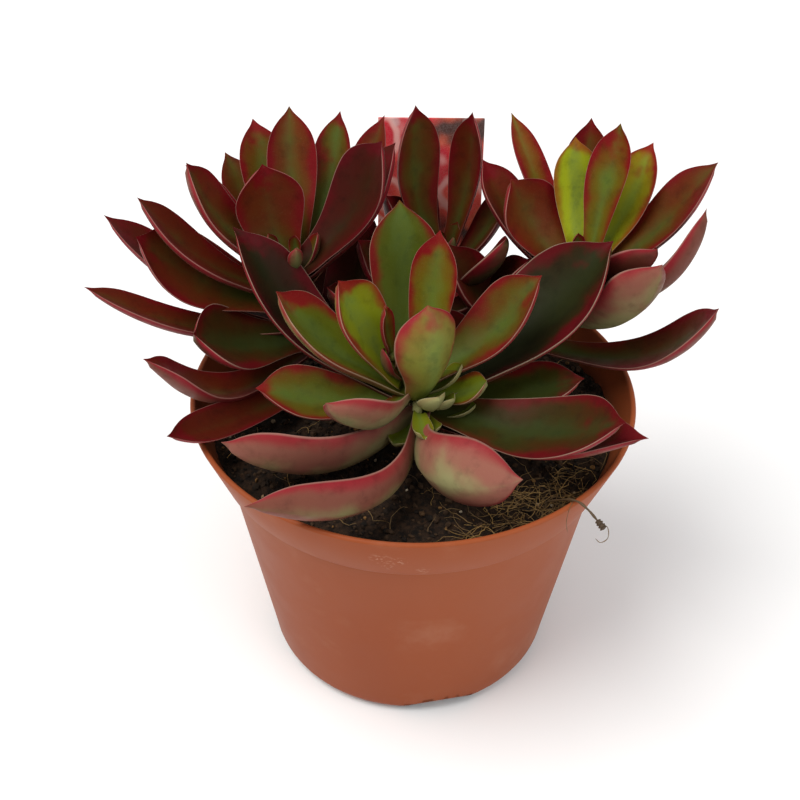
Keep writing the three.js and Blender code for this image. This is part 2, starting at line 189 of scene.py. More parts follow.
# Small leaves low on the front stem: foot, direction, rise, length and width.
SIDE_LEAVES = [
    (Vector((2.5, -18.5, 94)) * MM, -75, 15, 11 * MM, 5.5 * MM),
    (Vector((3, -18, 97)) * MM, -40, 35, 11 * MM, 6 * MM),
    (Vector((4, -17, 93)) * MM, -10, 20, 13 * MM, 6 * MM),
    (Vector((0, -18, 91)) * MM, -115, 5, 12 * MM, 6 * MM),
    (Vector((3.5, -16, 99)) * MM, 5, 45, 12 * MM, 6 * MM),
    (Vector((1, -18.5, 88)) * MM, -95, -5, 10 * MM, 5 * MM),
]

rng = np.random.default_rng(7)


# ---- Node material helpers ----

class Graph:
    """A material's node tree, with short calls for the nodes used here."""

    def __init__(self, name):
        self.material = bpy.data.materials.new(name)
        self.material.use_nodes = True
        self.tree = self.material.node_tree
        self.shader = self.tree.nodes["Principled BSDF"]

    def node(self, kind, **settings):
        node = self.tree.nodes.new(kind)
        for name, value in settings.items():
            setattr(node, name, value)
        return node

    def put(self, value, socket):
        """Links a socket, or sets a plain value; a colour gets its alpha."""
        if isinstance(value, bpy.types.NodeSocket):
            self.tree.links.new(value, socket)
        elif socket.type == "RGBA":
            socket.default_value = (*value, 1.0)
        else:
            socket.default_value = value

    def math(self, operation, a, b=0.0, clamp=False):
        node = self.node("ShaderNodeMath", operation=operation, use_clamp=clamp)
        self.put(a, node.inputs[0])
        self.put(b, node.inputs[1])
        return node.outputs[0]

    def ramp(self, value, low, high, to_low=0.0, to_high=1.0):
        """Smoothly maps low..high to to_low..to_high."""
        node = self.node("ShaderNodeMapRange", interpolation_type="SMOOTHSTEP")
        self.put(value, node.inputs["Value"])
        self.put(low, node.inputs["From Min"])
        self.put(high, node.inputs["From Max"])
        self.put(to_low, node.inputs["To Min"])
        self.put(to_high, node.inputs["To Max"])
        return node.outputs["Result"]

    def mix(self, factor, a, b, blend="MIX"):
        node = self.node("ShaderNodeMix", data_type="RGBA", blend_type=blend)
        self.put(factor, node.inputs[0])
        self.put(a, node.inputs[6])
        self.put(b, node.inputs[7])
        return node.outputs[2]

    def attribute(self, name):
        return self.node("ShaderNodeAttribute", attribute_name=name).outputs["Fac"]

    def position(self):
        return self.node("ShaderNodeTexCoord").outputs["Object"]

    def height(self, vector):
        node = self.node("ShaderNodeSeparateXYZ")
        self.put(vector, node.inputs[0])
        return node.outputs["Z"]

    def stretched(self, vector, scale):
        node = self.node("ShaderNodeMapping")
        self.put(vector, node.inputs["Vector"])
        self.put(scale, node.inputs["Scale"])
        return node.outputs["Vector"]

    def noise(self, vector, scale, detail=3.0, roughness=0.5):
        node = self.node("ShaderNodeTexNoise")
        self.put(vector, node.inputs["Vector"])
        self.put(scale, node.inputs["Scale"])
        self.put(detail, node.inputs["Detail"])
        self.put(roughness, node.inputs["Roughness"])
        return node.outputs["Fac"]

    def near(self, vector, point, radius):
        """1 at a point, fading to 0 at a radius."""
        node = self.node("ShaderNodeVectorMath", operation="DISTANCE")
        self.put(vector, node.inputs[0])
        self.put(point, node.inputs[1])
        return self.ramp(node.outputs["Value"], 0.0, radius, 1.0, 0.0)

    def bump(self, height, strength, distance):
        node = self.node("ShaderNodeBump")
        self.put(height, node.inputs["Height"])
        self.put(strength, node.inputs["Strength"])
        self.put(distance, node.inputs["Distance"])
        self.put(node.outputs["Normal"], self.shader.inputs["Normal"])

    def set(self, **inputs):
        """Sets or links the shader's inputs, with _ for a space in their names."""
        for name, value in inputs.items():
            self.put(value, self.shader.inputs[name.replace("_", " ")])


# ---- Materials ----

def leaf_material():
    """Velvety skin: green in the middle, red towards the margin and tip, and paler below."""
    g = Graph("leaf_skin")
    u = g.attribute("leaf_u")
    across = g.attribute("leaf_v")
    top = g.attribute("leaf_top")
    lime = g.attribute("leaf_lime")
    blush = g.attribute("leaf_blush")
    paleness = g.attribute("leaf_pale")
    place = g.position()
    cloud = g.noise(place, 90, 3)
    patch = g.noise(place, 260, 4, 0.6)
    speck = g.noise(place, 3200, 2, 0.7)
    wobble = g.math("MULTIPLY", g.math("SUBTRACT", cloud, 0.5), 0.9)
    margin = g.ramp(g.math("ADD", across, wobble), 0.62, 0.96)
    margin = g.math("MULTIPLY", margin, g.ramp(u, 0.1, 0.6, 0.3, 1.0))
    tip = g.ramp(g.math("ADD", u, wobble), 0.84, 1.0)
    rim = g.math("MAXIMUM", margin, tip)
    rim = g.math("MULTIPLY", rim, g.ramp(blush, 0.0, 0.15, 0.1, 1.0))
    low_rim = g.math("MULTIPLY", rim, g.ramp(across, 0.6, 1.0))

    old_green = (0.011, 0.009, 0.003)
    mid_green = (0.075, 0.095, 0.006)
    young_green = (0.33, 0.38, 0.01)
    green = g.mix(g.ramp(lime, 0.0, 0.6), old_green, mid_green)
    green = g.mix(g.ramp(lime, 0.5, 1.0), green, young_green)
    # Painted highlight: a cooler bluish green, in patches, in the middle of the brighter leaves.
    painted_cool_highlight = g.math("MULTIPLY", g.ramp(g.math("ADD", across, wobble), 0.1, 0.5, 0.8, 0.0), lime)
    green = g.mix(g.math("MULTIPLY", painted_cool_highlight, patch), green, (0.1, 0.19, 0.06))
    red = g.mix(lime, (0.035, 0.004, 0.003), (0.26, 0.03, 0.006))
    spread = g.math("ADD", g.math("MULTIPLY", across, 0.5), g.math("MULTIPLY", u, 0.5))
    spread = g.math("ADD", spread, g.math("MULTIPLY", blush, 1.25))
    spread = g.ramp(g.math("ADD", spread, wobble), 0.75, 1.7)
    upper = g.mix(spread, green, red)
    crimson = g.mix(lime, (0.075, 0.002, 0.005), (0.28, 0.005, 0.01))
    upper = g.mix(g.math("MULTIPLY", rim, 0.92), upper, crimson)

    pale = g.mix(lime, (0.13, 0.09, 0.04), (0.42, 0.42, 0.19))
    dusty = g.mix(lime, (0.12, 0.036, 0.025), (0.42, 0.17, 0.12))
    chalky = g.mix(g.ramp(spread, 0.2, 0.9), pale, dusty)
    under = g.mix(g.ramp(paleness, 0.0, 1.0, 0.15, 0.95), upper, chalky)
    under = g.mix(g.math("MULTIPLY", low_rim, 0.85), under, (0.24, 0.008, 0.018))

    skin = g.mix(top, under, upper)
    shade = g.ramp(patch, 0.45, 0.8, 0.0, 0.3)
    skin = g.mix(shade, skin, (0.0, 0.0, 0.0))
    # A pale line on the very margin: partly the pale colour of the velvet's hairs, partly a painted
    # highlight on them.
    fuzz_and_painted_sheen = g.ramp(across, 0.975, 1.0, 0.0, 0.45)
    skin = g.mix(fuzz_and_painted_sheen, skin, g.mix(blush, (0.5, 0.5, 0.34), (0.56, 0.3, 0.25)))
    down = g.math("MULTIPLY", g.ramp(speck, 0.56, 0.75, 0.0, 0.1), lime)
    skin = g.mix(down, skin, (0.5, 0.42, 0.25))
    g.set(Base_Color=skin, Roughness=g.ramp(patch, 0.3, 0.7, 0.42, 0.56))
    g.set(Sheen_Weight=0.02, Sheen_Roughness=0.4, Sheen_Tint=(0.9, 0.6, 0.5))
    g.set(Specular_IOR_Level=0.08)
    height = g.math("ADD", g.math("MULTIPLY", speck, 0.5), patch)
    g.bump(height, 0.35, 0.12 * MM)
    return g.material


def stem_material():
    """Green stems, woody just above the soil."""
    g = Graph("stem_bark")
    place = g.position()
    cloud = g.noise(place, 120, 4, 0.6)
    rings = g.noise(g.stretched(place, (300, 300, 1100)), 1.0, 3)
    green = g.mix(g.ramp(cloud, 0.3, 0.7), (0.1, 0.12, 0.02), (0.22, 0.2, 0.06))
    woody = g.ramp(g.height(place), SOIL_EDGE, SOIL_EDGE + 14 * MM, 0.8, 0.0)
    g.set(Base_Color=g.mix(woody, green, (0.11, 0.06, 0.025)), Roughness=0.6)
    g.bump(g.math("ADD", rings, cloud), 0.5, 0.3 * MM)
    return g.material


def pot_material():
    """Moulded terracotta-coloured plastic, dusty outside, with painted shade inside below the rim."""
    g = Graph("moulded_terracotta_plastic")
    place = g.position()
    height = g.height(place)
    flow = g.noise(g.stretched(place, (14, 14, 3)), 1.0, 4, 0.55)
    cloud = g.noise(place, 38, 5, 0.6)
    grain = g.noise(place, 2400, 2, 0.6)
    base = g.mix(g.ramp(flow, 0.3, 0.7), (0.235, 0.049, 0.013), (0.275, 0.063, 0.018))
    # Painted light: the pot gets lighter towards the top.
    base = g.mix(g.ramp(height, 0, POT_HEIGHT, 0.0, 0.25), base, (0.34, 0.095, 0.038))
    dust = g.math("MULTIPLY", g.ramp(cloud, 0.52, 0.75), 0.18)
    base = g.mix(dust, base, (0.5, 0.28, 0.19))
    scuff = 0.0
    for point, radius in SCUFFS:
        scuff = g.math("MAXIMUM", scuff, g.near(place, point, radius))
    scuff = g.math("MULTIPLY", scuff, g.ramp(g.noise(place, 900, 3), 0.5, 0.62))
    base = g.mix(g.math("MULTIPLY", scuff, 0.4), base, (0.62, 0.4, 0.3))
    # Painted shade: the inner wall gets darker below the rim, towards the soil.
    painted_inner_shade = g.ramp(g.math("ADD", height, g.math("MULTIPLY", cloud, 4 * MM)),
                    POT_HEIGHT - 9 * MM, POT_HEIGHT - 3 * MM, 0.75, 0.0)
    inside = g.attribute("inside")
    base = g.mix(g.math("MULTIPLY", painted_inner_shade, inside), base, (0.05, 0.025, 0.014))
    roughness = g.math("ADD", g.ramp(cloud, 0.3, 0.7, 0.4, 0.5), g.math("MULTIPLY", scuff, 0.2))
    g.set(Base_Color=base, Roughness=roughness, Specular_IOR_Level=0.1)
    g.set(Subsurface_Weight=0.06, Subsurface_Scale=2 * MM, Subsurface_Radius=(1.0, 0.35, 0.2))
    g.bump(g.math("ADD", grain, g.math("MULTIPLY", flow, 3.0)), 0.12, 0.1 * MM)
    return g.material


def soil_material():
    g = Graph("potting_soil")
    place = g.position()
    coarse = g.noise(place, 420, 5, 0.65)
    fine = g.noise(place, 2200, 4, 0.7)
    base = g.mix(g.ramp(coarse, 0.35, 0.7), (0.006, 0.004, 0.003), (0.04, 0.021, 0.011))
    base = g.mix(g.ramp(fine, 0.58, 0.74, 0.0, 0.6), base, (0.13, 0.062, 0.022))
    g.set(Base_Color=base, Roughness=0.92, Specular_IOR_Level=0.2)
    g.bump(g.math("ADD", coarse, g.math("MULTIPLY", fine, 0.5)), 0.9, 0.7 * MM)
    return g.material


def crumb_material():
    """Peat crumbs, bark chips and mineral grains: crumb_tone runs from black peat to pale grain."""
    g = Graph("soil_crumbs")
    place = g.position()
    tone = g.attribute("crumb_tone")
    fine = g.noise(place, 2600, 4, 0.7)
    base = g.mix(g.ramp(tone, 0.0, 0.5), (0.009, 0.006, 0.004), (0.06, 0.032, 0.015))
    base = g.mix(g.ramp(tone, 0.5, 0.8), base, (0.24, 0.12, 0.035))
    base = g.mix(g.ramp(tone, 0.85, 1.0), base, (0.55, 0.46, 0.33))
    base = g.mix(g.ramp(fine, 0.4, 0.75, 0.0, 0.5), base, (0.01, 0.007, 0.005))
    g.set(Base_Color=base, Roughness=0.85, Specular_IOR_Level=0.25)
    g.bump(fine, 0.6, 0.2 * MM)
    return g.material


def fibre_material():
    g = Graph("coco_fibre")
    place = g.position()
    tone = g.attribute("crumb_tone")
    streak = g.noise(place, 1500, 3, 0.6)
    base = g.mix(tone, (0.035, 0.018, 0.008), (0.42, 0.25, 0.07))
    base = g.mix(g.ramp(streak, 0.4, 0.7, 0.0, 0.4), base, (0.03, 0.015, 0.008))
    g.set(Base_Color=base, Roughness=0.6)
    g.bump(streak, 0.4, 0.05 * MM)
    return g.material


def label_material():
    """A printed pattern of blurred red rosettes on a dark and orange ground, with a pale back."""
    g = Graph("printed_label")
    place = g.position()
    drift = g.node("ShaderNodeTexNoise")
    g.put(place, drift.inputs["Vector"])
    g.put(60.0, drift.inputs["Scale"])
    shifted = g.node("ShaderNodeVectorMath", operation="MULTIPLY_ADD")
    g.put(drift.outputs["Color"], shifted.inputs[0])
    g.put((0.012, 0.012, 0.012), shifted.inputs[1])
    g.put(place, shifted.inputs[2])
    cells = g.node("ShaderNodeTexVoronoi", feature="F1")
    g.put(g.stretched(shifted.outputs[0], (95, 95, 70)), cells.inputs["Vector"])
    g.put(1.0, cells.inputs["Scale"])
    petal = cells.outputs["Distance"]
    picture = g.noise(place, 75, 2, 0.4)
    rose = g.mix(g.ramp(picture, 0.35, 0.6), (0.55, 0.015, 0.035), (0.75, 0.09, 0.06))
    edge = g.ramp(g.math("ABSOLUTE", g.math("SUBTRACT", petal, 0.4)), 0.02, 0.12, 0.7, 0.0)
    rose = g.mix(edge, rose, (0.85, 0.5, 0.45))
    ground = g.mix(g.ramp(g.noise(place, 90, 2), 0.45, 0.6), (0.07, 0.03, 0.025), (0.6, 0.1, 0.05))
    printed = g.mix(g.ramp(petal, 0.52, 0.72), rose, ground)
    pale = g.math("MULTIPLY", g.ramp(g.noise(place, 110, 2), 0.64, 0.72), 0.5)
    printed = g.mix(pale, printed, (0.6, 0.55, 0.54))
    dots = g.noise(place, 4200, 1)
    printed = g.mix(g.ramp(dots, 0.45, 0.6, 0.0, 0.06), printed, (0.9, 0.85, 0.8))
    back = g.mix(g.ramp(g.noise(place, 60, 4), 0.4, 0.7), (0.8, 0.79, 0.76), (0.72, 0.7, 0.66))
    base = g.mix(g.attribute("label_front"), back, printed)
    g.set(Base_Color=base, Roughness=g.ramp(picture, 0.3, 0.7, 0.3, 0.4), Specular_IOR_Level=0.3)
    g.bump(dots, 0.05, 0.05 * MM)
    return g.material


def floor_material():
    g = Graph("studio_floor")
    g.set(Base_Color=(0.93, 0.93, 0.93), Roughness=0.7, Specular_IOR_Level=0.1)
    return g.material


# ---- Mesh helpers ----

def put_attribute(mesh, name, values):
    layer = mesh.attributes.new(name, "FLOAT", "POINT")
    layer.data.foreach_set("value", np.asarray(values, dtype=np.float32))


def mesh_object(name, points, faces, material, attributes=None, smooth=True):
    mesh = bpy.data.meshes.new(name)
    mesh.from_pydata([tuple(p) for p in points], [], [tuple(f) for f in faces])
    for key, values in (attributes or {}).items():
        put_attribute(mesh, key, values)
    mesh.materials.append(material)
    mesh.polygons.foreach_set("use_smooth", [smooth] * len(mesh.polygons))
    mesh.update()
    piece = bpy.data.objects.new(name, mesh)
    bpy.context.scene.collection.objects.link(piece)
    return piece


def copy_of(node, name, material):
    """A new object with a copy of a CAD node's mesh, in another material."""
    piece = bpy.data.objects.new(name, NODES[node].data.copy())
    bpy.context.scene.collection.objects.link(piece)
    piece.data.materials.clear()
    piece.data.materials.append(material)
    return piece


def apply_modifiers(piece):
    depsgraph = bpy.context.evaluated_depsgraph_get()
    mesh = bpy.data.meshes.new_from_object(piece.evaluated_get(depsgraph))
    piece.modifiers.clear()
    piece.data = mesh


def keep(piece, slot, *nodes):
    """Makes a finished piece ride on the plant's body, in place of CAD nodes; slot is not used."""
    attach(piece, "root")
    if nodes:
        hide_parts(*nodes)


def unit(vectors):
    length = np.linalg.norm(vectors, axis=-1, keepdims=True)
    return vectors / np.maximum(length, 1e-12)


def smooth_through(stations, values, at):
    """Values of a smooth curve through points at the stations, as a cubic with finite slopes."""
    stations = np.asarray(stations, float)
    values = np.asarray(values, float)
    slopes = np.gradient(values, stations, axis=0)
    place = np.clip(np.searchsorted(stations, at, side="right") - 1, 0, len(stations) - 2)
    step = stations[place + 1] - stations[place]
    t = (at - stations[place]) / step
    shape = (-1,) + (1,) * (values.ndim - 1)
    t, step = t.reshape(shape), step.reshape(shape)
    a = (2 * t**3 - 3 * t**2 + 1) * values[place] + (t**3 - 2 * t**2 + t) * step * slopes[place]
    b = (3 * t**2 - 2 * t**3) * values[place + 1] + (t**3 - t**2) * step * slopes[place + 1]
    return a + b


def tube(path, radii, sides):
    """Points and faces of a closed round tube along a path."""
    path = np.asarray(path, float)
    along = unit(np.gradient(path, axis=0))
    side = unit(np.cross(along, [0.21, 0.37, 0.9]))
    other = np.cross(along, side)
    turn = np.linspace(0, 2 * math.pi, sides, endpoint=False)
    ring = side[:, None] * np.cos(turn)[None, :, None] + other[:, None] * np.sin(turn)[None, :, None]
    points = (path[:, None] + ring * np.asarray(radii)[:, None, None]).reshape(-1, 3)
    faces = []
    for i in range(len(path) - 1):
        for j in range(sides):
            k = (j + 1) % sides
            faces.append((i * sides + j, i * sides + k, (i + 1) * sides + k, (i + 1) * sides + j))
    faces.append(tuple(range(sides))[::-1])
    faces.append(tuple((len(path) - 1) * sides + j for j in range(sides)))
    return points, faces


# ---- Leaves ----

def welded(node):
    """A CAD node's points with doubles joined, and each point's neighbours."""
    shape = bmesh.new()
    shape.from_mesh(NODES[node].data)
    bmesh.ops.remove_doubles(shape, verts=shape.verts, dist=0.02 * MM)
    shape.verts.index_update()
    points = np.array([v.co for v in shape.verts])
    neighbours = [{e.other_vert(v).index for e in v.link_edges} for v in shape.verts]
    shape.free()
    return points, neighbours


def rings_from(start, neighbours):
    """Rings of points at one, two, three... steps from a start point."""
    seen, ring, rings = {start}, [start], []
    while ring:
        ring = sorted(set().union(*(neighbours[i] for i in ring)) - seen)
        seen.update(ring)
        if ring:
            rings.append(ring)
    return rings


def leaf_frame(node):
    """A CAD leaf's line from base to tip, with its half width, thickness and directions.

    The leaf is a stack of rings of 8 points between two poles. Only a pole has rings of 8 all the way
    to the other one, and the tip is the pole whose second ring is nearer.
    """
    points, neighbours = welded(node)
    tries = [(end, rings_from(end, neighbours)) for end in range(len(points))]
    tries = [(end, rings) for end, rings in tries if all(len(ring) in (8, 1) for ring in rings)]
    tip, rings = min(tries, key=lambda t: np.linalg.norm(points[t[1][1]].mean(axis=0) - points[t[0]]))
    rings = [ring for ring in rings if len(ring) == 8][::-1]
    centres, rights, ups, halves, thicks = [], [], [], [], []
    for ring in rings:
        ring_points = points[ring]
        apart = np.linalg.norm(ring_points[:, None] - ring_points[None], axis=2)
        a, b = np.unravel_index(apart.argmax(), apart.shape)
        chord = (ring_points[a] + ring_points[b]) / 2
        right = unit(ring_points[b] - ring_points[a])
        rest = ring_points - chord
        off_axis = np.abs(rest @ right)
        middle = np.argsort(off_axis)[:2]
        near, far = sorted(middle, key=lambda i: np.linalg.norm(rest[i]))
        hollow, keel = ring_points[near], ring_points[far]
        centres.append(hollow)
        rights.append(right)
        ups.append(unit(hollow - keel))
        halves.append(apart.max() / 2)
        thicks.append(np.linalg.norm(hollow - keel))
    for i in range(1, len(rights)):
        if rights[i] @ rights[i - 1] < 0:
            rights[i] = -rights[i]
    centres = np.array(centres + [points[tip]])
    steps = np.linalg.norm(np.diff(centres, axis=0), axis=1)
    along = np.concatenate([[0], np.cumsum(steps)])
    return {
        "stations": along / along[-1],
        "centres": centres,
        "rights": np.array(rights + [rights[-1]]),
        "ups": np.array(ups + [ups[-1]]),
        "half": max(halves),
        "thick": max(thicks),
        "long": along[-1],
    }


def square_to(vectors, others):
    """The vectors, less their part along others."""
    return vectors - others * np.sum(vectors * others, axis=1, keepdims=True)


def leaf_line(leaf, u):
    """A leaf's middle line, and its directions to the right and up, at places u along it."""
    centre = smooth_through(leaf["stations"], leaf["centres"], u)
    right = smooth_through(leaf["stations"], leaf["rights"], u)
    up = smooth_through(leaf["stations"], leaf["ups"], u)
    along = unit(np.gradient(centre, axis=0))
    right = unit(square_to(right, along))
    up = unit(square_to(square_to(up, along), right))
    return centre, right, up


def leaf_points(leaf, seed):
    """A fine leaf surface over a leaf's line: rows of points, with u along it and v across it."""
    random = np.random.default_rng(seed)
    u = np.sin(np.linspace(0, 0.5, LEAF_ROWS) * math.pi) ** 1.15
    u = LEAF_BASE + (1 - 1e-3 - LEAF_BASE) * u
    outline = np.array(LEAF_OUTLINE)
    half = np.maximum(smooth_through(outline[:, 0], outline[:, 1], u), 0.012) * leaf["half"] * 1.02
    thick = smooth_through(outline[:, 0], outline[:, 2], u) * leaf["thick"]
    centre, right, up = leaf_line(leaf, u)

    # Its own small sway, wave and hooked tip.
    sway = random.normal(0, 0.012) * leaf["long"] * np.sin(u * math.pi) ** 2
    hook = random.uniform(-0.035, 0.02) * leaf["long"] * np.clip((u - 0.8) / 0.2, 0, 1) ** 2
    centre = centre + right * sway[:, None] + up * hook[:, None]
    wave_phase = random.uniform(0, 2 * math.pi, 2)
    wave_size = random.uniform(0.02, 0.05)
    cup = random.uniform(0.13, 0.2)

    def blade(v):
        """Height of the cupped blade, whose left and right margins each wave on their own."""
        wave = wave_size * np.sin(u[:, None] * LEAF_WAVES + np.where([v > 0], *wave_phase))
        return half[:, None] * 2 * (cup * np.abs(v) ** 1.7 + wave * np.abs(v) ** 3 * 0.5)

    # The upper face has a shallow groove, and the lower one a rounded belly with a keel.
    top_v = np.sin(np.linspace(-1, 1, LEAF_HALF_COLUMNS) * math.pi / 2)
    low_v = top_v[::-1][1:-1]
    thin = np.minimum(1.0, half / (0.32 * leaf["half"]))
    body = (thick * thin)[:, None]
    groove = -0.05 * body * np.exp(-(top_v / 0.12) ** 2)
    belly = (1 - np.abs(low_v) ** 2.4) ** 0.55 * 0.86
    keel = 0.14 * np.exp(-(low_v / 0.2) ** 2)
    across = np.concatenate([top_v, low_v])
    height = np.concatenate([blade(top_v) + groove, blade(low_v) - body * (belly + keel)], axis=1)
    points = (centre[:, None] + right[:, None] * (half[:, None] * across)[:, :, None]
              + up[:, None] * height[:, :, None])
    is_top = np.concatenate([np.ones(len(top_v)), np.zeros(len(low_v))])
    return points, u, across, is_top


def skin_faces(rows, columns):
    """Faces of a closed skin over rows of points, with one more over its base and its tip."""
    faces = []
    for i in range(rows - 1):
        for j in range(columns):
            k = (j + 1) % columns
            faces.append((i * columns + j, (i + 1) * columns + j, (i + 1) * columns + k, i * columns + k))
    faces.append(tuple(range(columns)))
    faces.append(tuple((rows - 1) * columns + j for j in range(columns))[::-1])
    return faces


def outward(points, faces):
    """The faces, turned round if they point into the solid."""
    centre = points.mean(axis=0)
    volume = 0.0
    for face in faces:
        a = points[face[0]] - centre
        for j in range(1, len(face) - 1):
            volume += a @ np.cross(points[face[j]] - centre, points[face[j + 1]] - centre)
    return faces if volume > 0 else [tuple(reversed(face)) for face in faces]


def leaf_piece(name, leaf, material, tones, seed):
    points, u, across, is_top = leaf_points(leaf, seed)
    rows, columns = points.shape[:2]
    flat = points.reshape(-1, 3)
    attributes = {
        "leaf_u": np.repeat(u, columns),
        "leaf_v": np.tile(np.abs(across), rows),
        "leaf_top": np.tile(is_top, rows),
        "leaf_lime": np.full(rows * columns, tones[0]),
        "leaf_blush": np.full(rows * columns, tones[1]),
        "leaf_pale": np.full(rows * columns, tones[2]),
    }
    return mesh_object(name, flat, outward(flat, skin_faces(rows, columns)), material, attributes)


def make_leaves(material):
    """A fine skin in place of each CAD leaf."""
    for seed, node in enumerate(sorted(n for n in NODES if "_leaf_" in n)):
        shoot, _, number = node.split("_")
        tones = LEAF_TONES[shoot][int(number) - 1]
        piece = leaf_piece(f"{node}_skin", leaf_frame(node), material, tones, 100 + seed)
        keep(piece, SLOT_OF[node], node)


def young_leaf_frame(foot, turn, lift, long, wide):
    """The line of a young leaf that stands at a foot on its stem."""
    turn, lift = math.radians(turn), math.radians(lift)
    heading = np.array([math.cos(turn) * math.cos(lift), math.sin(turn) * math.cos(lift), math.sin(lift)])
    right = np.array([-math.sin(turn), math.cos(turn), 0.0])
    up = np.cross(heading, right)
    stations = np.linspace(0, 1, 6)
    sag = -0.1 * long * np.sin(math.pi * stations)
    centres = np.array(foot) + heading * (stations * long)[:, None] + up * sag[:, None]
    return {
        "stations": stations,
        "centres": centres,
        "rights": np.tile(right, (6, 1)),
        "ups": np.tile(up, (6, 1)),
        "half": wide / 2,
        "thick": 0.28 * wide,
        "long": long,
    }


def make_young_leaves(material):
    """A tuft of young leaves round each growing tip, in a golden-angle spiral."""
    for shoot, (foot, outer) in GROWING_TIPS.items():
        for i in range(YOUNG_COUNT):
            share = 1 - 0.12 * i
            turn = outer + GOLDEN_ANGLE * i
            heading = Vector((math.cos(math.radians(turn)), math.sin(math.radians(turn)), 0))
            place = foot + heading * YOUNG_FROM_TIP
            place.z -= (YOUNG_COUNT - i) * 0.7 * MM
            leaf = young_leaf_frame(place, turn, 62 + 5 * i, YOUNG_LONG * share, YOUNG_WIDE * share)
            piece = leaf_piece(f"{shoot}_young_{i + 1}", leaf, material, YOUNG_TONES, 300 + i)
            keep(piece, "leaf_green")


def make_inner_leaves(material):
    """Old shaded leaves low between the shoots."""
    for number, (foot, turn, lift, long, wide) in enumerate(INNER_LEAVES):
        leaf = young_leaf_frame(foot, turn, lift, long, wide)
        tones = (0.1 + 0.08 * (number % 2), 0.75, 0.3)
        piece = leaf_piece(f"inner_leaf_{number + 1}", leaf, material, tones, 500 + number)
        keep(piece, "leaf_bronze")


def make_side_leaves(material):
    """Small pale leaves low on the front shoot's stem."""
    for number, (foot, turn, lift, long, wide) in enumerate(SIDE_LEAVES):
        leaf = young_leaf_frame(foot, turn, lift, long, wide)
        piece = leaf_piece(f"front_side_leaf_{number + 1}", leaf, material, SIDE_TONES, 400 + number)
        keep(piece, "leaf_green")


# ---- Stems ----

def make_stems(material):
    """The CAD stems, rounded into one grown body."""
    piece = copy_of("stems", "stems_grown", material)
    remesh = piece.modifiers.new("remesh", "REMESH")
    remesh.mode = "VOXEL"
    remesh.voxel_size = 0.55 * MM
    soften = piece.modifiers.new("soften", "SMOOTH")
    soften.iterations = 12
    soften.factor = 0.6
    apply_modifiers(piece)
    piece.data.polygons.foreach_set("use_smooth", [True] * len(piece.data.polygons))
    keep(piece, "stem", "stems")


# ---- Pot ----

def arc(centre_r, centre_z, radius, start, end, steps):
    turn = np.radians(np.linspace(start, end, steps + 1))
    return [(centre_r + radius * math.cos(a), centre_z + radius * math.sin(a)) for a in turn]


def wall_radius(z):
    return BASE_RADIUS + WALL_SLOPE * z


def cup_profile(inset, bottom, top):
    """The pot's outline from the axis to the top, moved inwards by inset."""
    rounding = BASE_ROUNDING - inset / 2
    tilt = math.degrees(math.atan(WALL_SLOPE))
    corner = wall_radius(bottom + rounding) - inset - rounding
    step = min(COLLAR_STEP, inset)
    under = (WALL_TOP_RADIUS - inset, COLLAR_BOTTOM + step)
    over = (WALL_TOP_RADIUS + COLLAR_STEP - inset, COLLAR_BOTTOM + COLLAR_STEP / 2 + step)
    rim = (RIM_RADIUS - inset, top)
    return [
        (0.0, bottom),
        *arc(corner, bottom + rounding, rounding, -90, -tilt, 8),
        *((wall_radius(z) - inset, z) for z in WALL_RINGS),
        *rounded_corner((wall_radius(WALL_RINGS[-1]) - inset, WALL_RINGS[-1]), under, over),
        *rounded_corner(under, over, rim),
        rim,
    ]


def rounded_corner(before, corner, after):
    """Points that round a profile's corner by COLLAR_EDGE."""
    corner = np.array(corner)
    start = corner + unit(np.array(before) - corner) * COLLAR_EDGE
    end = corner + unit(np.array(after) - corner) * COLLAR_EDGE
    share = np.linspace(0, 1, 5)[:, None]
    curve = (1 - share) ** 2 * start + 2 * share * (1 - share) * corner + share**2 * end
    return [tuple(p) for p in curve]


def turned(profile, segments=POT_SEGMENTS):
    """Points and faces of a solid of revolution; a profile point on the axis becomes one point."""
    points, faces, rings = [], [], []
    for r, z in profile:
        if r < 1e-9:
            rings.append([len(points)])
            points.append((0.0, 0.0, z))
        else:
            start = len(points)
            rings.append(list(range(start, start + segments)))
            for i in range(segments):
                turn = 2 * math.pi * i / segments
                points.append((r * math.cos(turn), r * math.sin(turn), z))
    for low, high in zip(rings, rings[1:]):
        for i in range(segments):
            j = (i + 1) % segments
            if len(low) == 1:
                faces.append((low[0], high[i], high[j]))
            elif len(high) == 1:
                faces.append((low[i], high[0], low[j]))
            else:
                faces.append((low[i], high[i], high[j], low[j]))
    return np.array(points), outward(np.array(points), faces)


def arch_tunnel(turn, margin):
    """A radial tunnel with an arched roof, open at the pot's lower edge."""
    half = ARCH_WIDTH / 2 + margin
    roof = [(-half, -CUT_PAST)]
    for angle in np.linspace(math.pi, 0, 25):
        roof.append((half * math.cos(angle), (ARCH_HEIGHT + margin) * math.sin(angle)))
    roof.append((half, -CUT_PAST))
    reach = ARCH_DEPTH + BASE_ROUNDING
    inner = BASE_RADIUS + BASE_ROUNDING - reach - margin
    outer = inner + reach + margin
    points = [(x, inner, z) for x, z in roof] + [(x, outer, z) for x, z in roof]
    count = len(roof)
    faces = [(i, (i + 1) % count, (i + 1) % count + count, i + count) for i in range(count)]
    faces += [tuple(range(count))[::-1], tuple(range(count, 2 * count))]
    spin = np.array(Matrix.Rotation(math.radians(turn - 90), 3, "Z"))
    points = np.array(points) @ spin.T
    return points, outward(points, faces)


